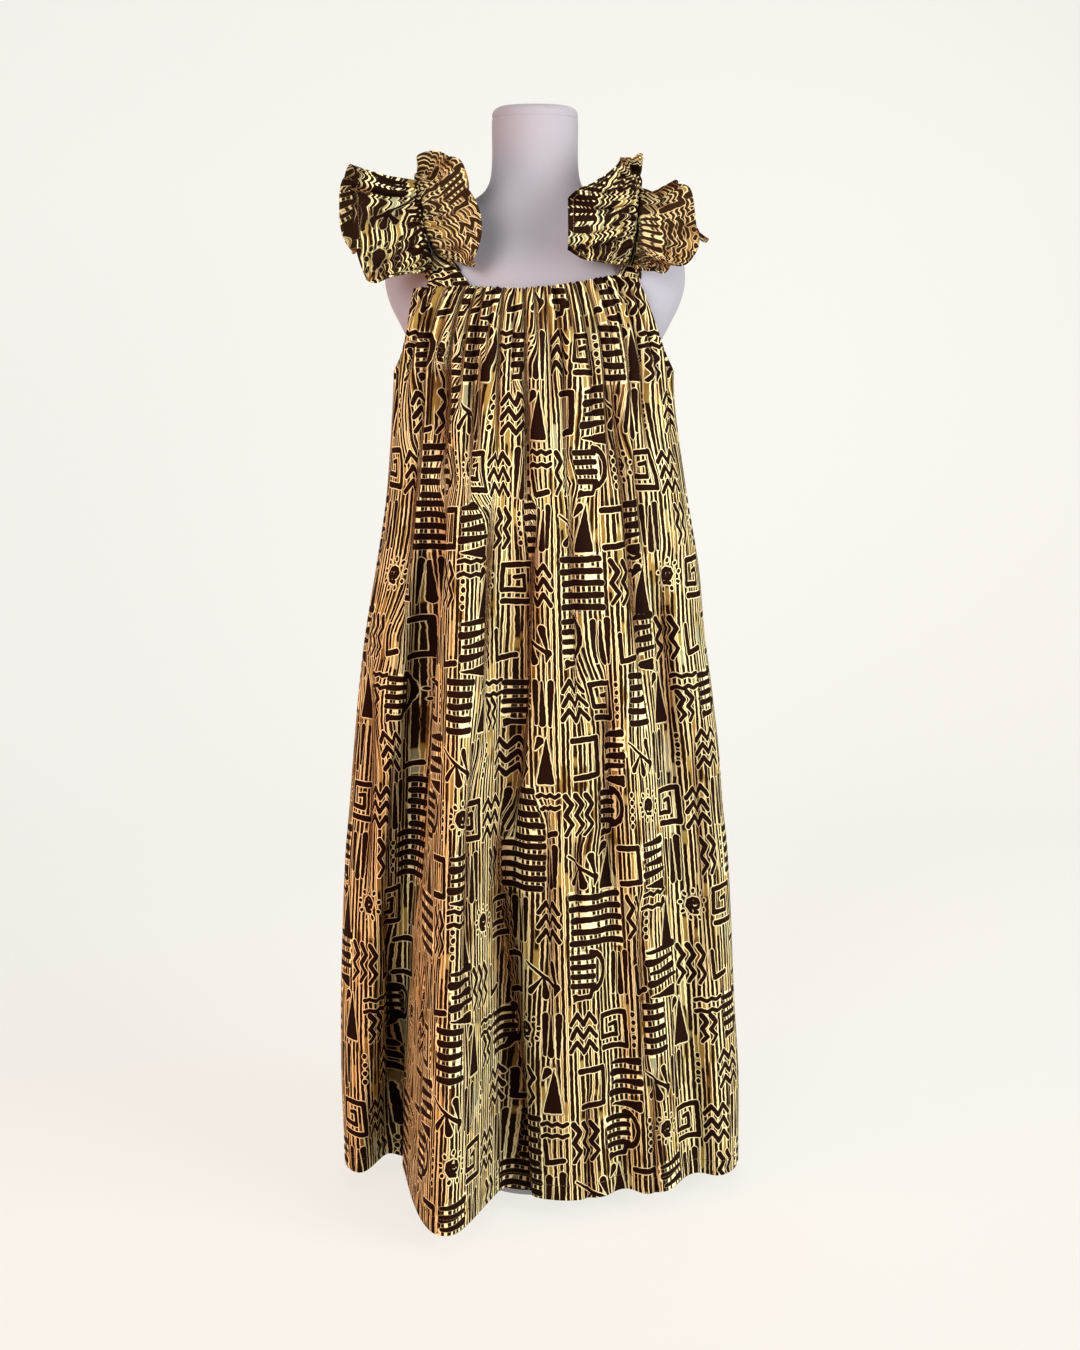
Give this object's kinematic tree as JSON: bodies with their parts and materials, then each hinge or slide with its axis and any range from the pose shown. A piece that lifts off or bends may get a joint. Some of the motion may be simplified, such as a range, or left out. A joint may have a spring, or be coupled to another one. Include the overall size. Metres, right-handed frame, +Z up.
{
  "type": "wax print dress on dress form",
  "caption": "Sleeveless wax print dress with a gathered neck and frilled shoulder straps, worn by a limbless white dress form on a pole with a round base.",
  "frame": {"origin": "centre of the underside of the round base", "axes": "+Z up along the pole, -Y towards the front of the dress, +X towards the viewer's right in the picture"},
  "size_m": [0.5176, 0.4483, 1.36],
  "materials": {
    "wax_print_cotton": "matt printed cotton",
    "wax_print_trim": "matt printed cotton",
    "white_jersey": "matt white knitted cover",
    "grey_steel": "satin grey paint"
  },
  "bodies": {
    "root": {"front_panel": "wax_print_cotton", "back_panel": "wax_print_cotton", "front_neck_facing": "wax_print_trim", "back_neck_facing": "wax_print_trim", "left_strap": "wax_print_trim", "right_strap": "wax_print_trim", "left_outer_frill": "wax_print_trim", "left_inner_frill": "wax_print_trim", "right_inner_frill": "wax_print_trim", "right_outer_frill": "wax_print_trim", "form_torso": "white_jersey", "form_pole": "grey_steel", "form_base": "grey_steel"}
  },
  "joints": []
}
